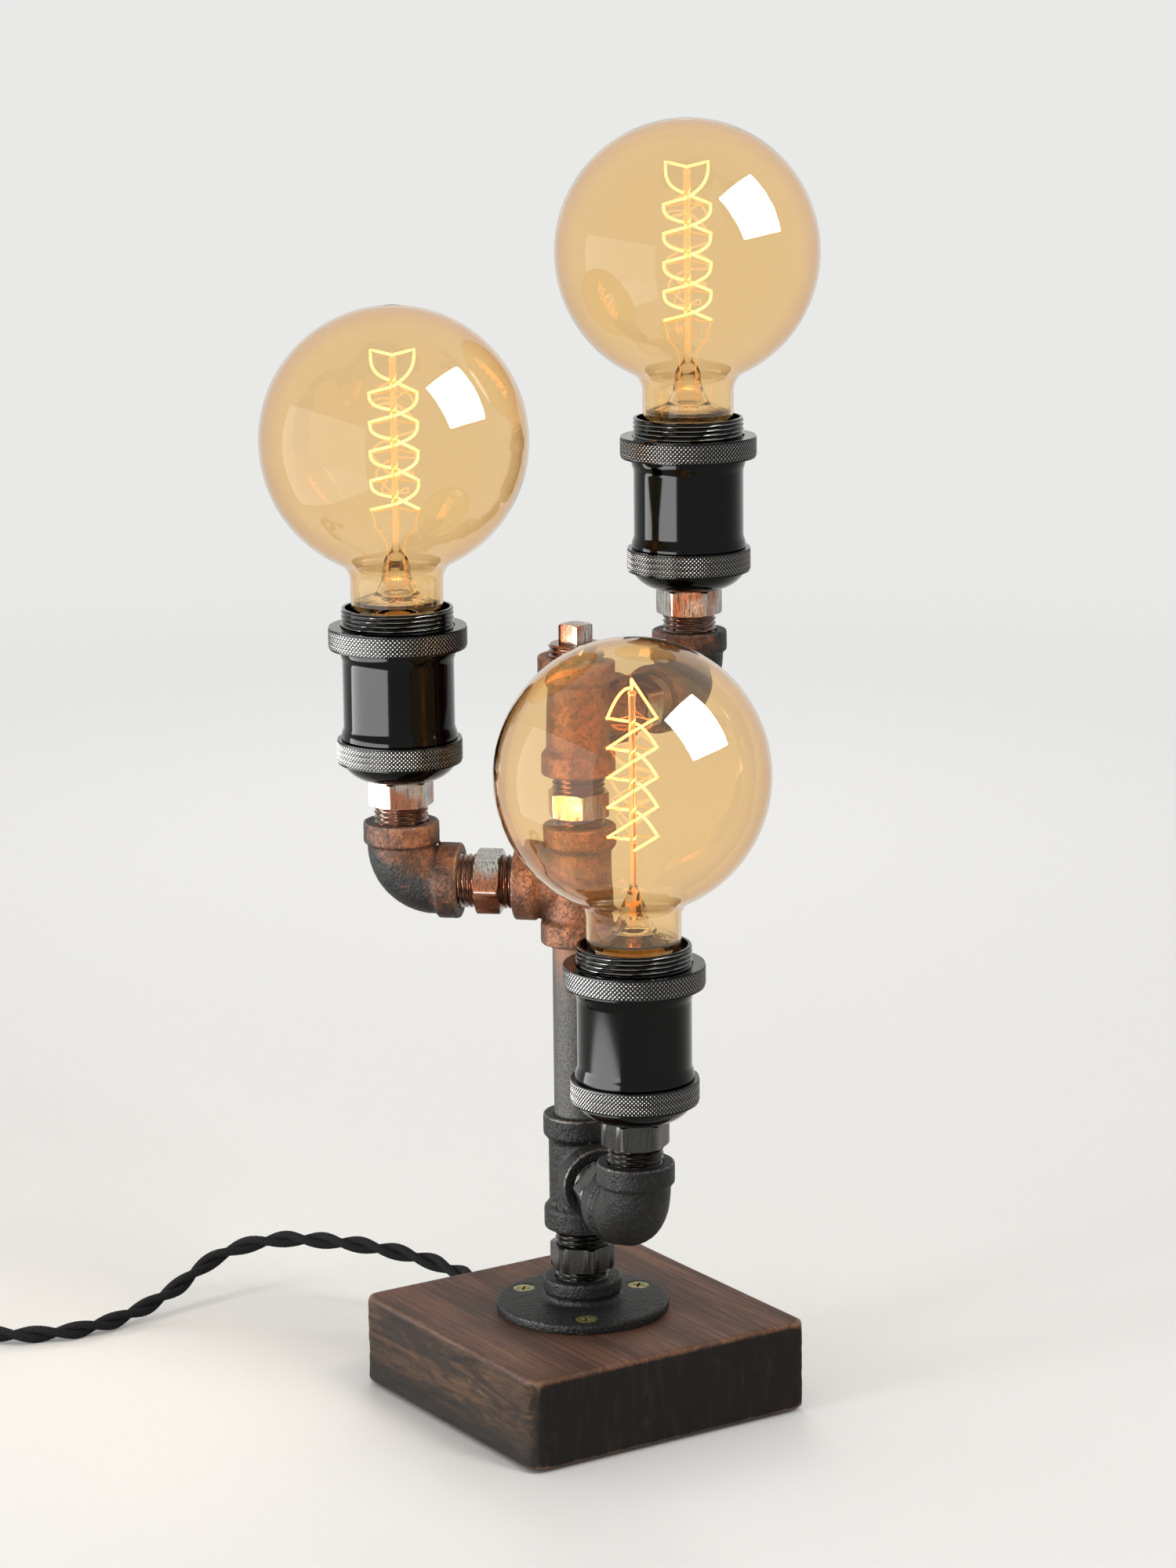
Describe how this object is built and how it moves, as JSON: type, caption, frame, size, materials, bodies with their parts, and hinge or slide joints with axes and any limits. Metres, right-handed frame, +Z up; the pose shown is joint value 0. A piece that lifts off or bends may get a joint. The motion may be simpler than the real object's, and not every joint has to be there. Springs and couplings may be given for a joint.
{
  "type": "table lamp",
  "caption": "Industrial table lamp: iron pipe fittings rise from a square wooden block and carry globe bulbs with cage filaments in dark metal lampholders.",
  "frame": {"origin": "centre of the base pad's underside, where the lamp rests on the table", "axes": "+Z up the riser; -Y out of the block's front face; +Y out of the back face that the cord leaves"},
  "size_m": [0.4389, 0.3537, 0.4584],
  "materials": {
    "walnut": "dark stained and waxed, burnt on one side",
    "felt": "black felt",
    "black_iron": "sand cast, blackened, oiled",
    "rust_iron": "sand cast, dark with a brown bloom",
    "machined_steel": "bright turned steel",
    "yellow_zinc": "yellow passivated zinc",
    "black_pearl": "black pearl chrome plate",
    "porcelain": "glazed",
    "brass": "plain",
    "amber_glass": "clear, amber tinted",
    "stem_glass": "clear",
    "filament": "glowing wire",
    "wire_insulation": "matte",
    "terminal_plastic": "moulded",
    "black_plastic": "fine texture",
    "rocker_plastic": "gloss",
    "cord_fabric": "braided black textile, twisted pair",
    "nickel": "nickel plated"
  },
  "bodies": {
    "root": {"base_block": "walnut", "base_pad": "felt", "floor_flange": "black_iron", "flange_screws": "yellow_zinc", "base_nipple": "machined_steel", "upper_nipple": "machined_steel", "lower_tee": "black_iron", "middle_tee": "rust_iron", "upper_tee": "rust_iron", "riser_pipe": "rust_iron", "top_plug": "rust_iron", "lamp_wires": "wire_insulation", "supply_cores": "wire_insulation", "terminal_block": "terminal_plastic", "cord_gland": "black_plastic", "cord_lead": "cord_fabric", "cord_coil": "cord_fabric", "switch_case": "black_plastic", "switch_cover": "black_plastic", "switch_contacts": "brass", "plug_body": "black_plastic", "plug_pins": "nickel", "front_arm_nipple": "machined_steel", "front_elbow": "black_iron", "front_holder_nipple": "machined_steel", "front_holder_cup": "black_pearl", "front_holder_shell": "black_pearl", "front_socket_insert": "porcelain", "front_socket_contacts": "brass", "left_arm_nipple": "machined_steel", "left_elbow": "rust_iron", "left_holder_nipple": "machined_steel", "left_holder_cup": "black_pearl", "left_holder_shell": "black_pearl", "left_socket_insert": "porcelain", "left_socket_contacts": "brass", "back_arm_nipple": "machined_steel", "back_elbow": "rust_iron", "back_holder_nipple": "machined_steel", "back_holder_cup": "black_pearl", "back_holder_shell": "black_pearl", "back_socket_insert": "porcelain", "back_socket_contacts": "brass"},
    "bulb_front": {"front_bulb_glass": "amber_glass", "front_bulb_cap": "brass", "front_bulb_stem": "stem_glass", "front_bulb_filament": "filament"},
    "bulb_left": {"left_bulb_glass": "amber_glass", "left_bulb_cap": "brass", "left_bulb_stem": "stem_glass", "left_bulb_filament": "filament"},
    "bulb_back": {"back_bulb_glass": "amber_glass", "back_bulb_cap": "brass", "back_bulb_stem": "stem_glass", "back_bulb_filament": "filament"},
    "ring_front": {"front_shade_ring": "black_pearl"},
    "ring_left": {"left_shade_ring": "black_pearl"},
    "ring_back": {"back_shade_ring": "black_pearl"},
    "rocker": {"switch_rocker": "rocker_plastic"}
  },
  "joints": [
    {"name": "front_bulb_lift", "type": "slide", "parent": "root", "child": "bulb_front", "axis": [0, 0, 1], "range_m": [0, 0.035]},
    {"name": "left_bulb_lift", "type": "slide", "parent": "root", "child": "bulb_left", "axis": [0, 0, 1], "range_m": [0, 0.035]},
    {"name": "back_bulb_lift", "type": "slide", "parent": "root", "child": "bulb_back", "axis": [0, 0, 1], "range_m": [0, 0.035]},
    {"name": "front_ring_travel", "type": "slide", "parent": "root", "child": "ring_front", "axis": [0, 0, 1], "range_m": [0, 0.0065]},
    {"name": "left_ring_travel", "type": "slide", "parent": "root", "child": "ring_left", "axis": [0, 0, 1], "range_m": [0, 0.0065]},
    {"name": "back_ring_travel", "type": "slide", "parent": "root", "child": "ring_back", "axis": [0, 0, 1], "range_m": [0, 0.0065]},
    {"name": "rocker_throw", "type": "hinge", "parent": "root", "child": "rocker", "pos_m": [-0.20369, 0.20286, 0.0116], "axis": [-0.5085, -0.8611, 0], "range_deg": [0, 18]}
  ]
}
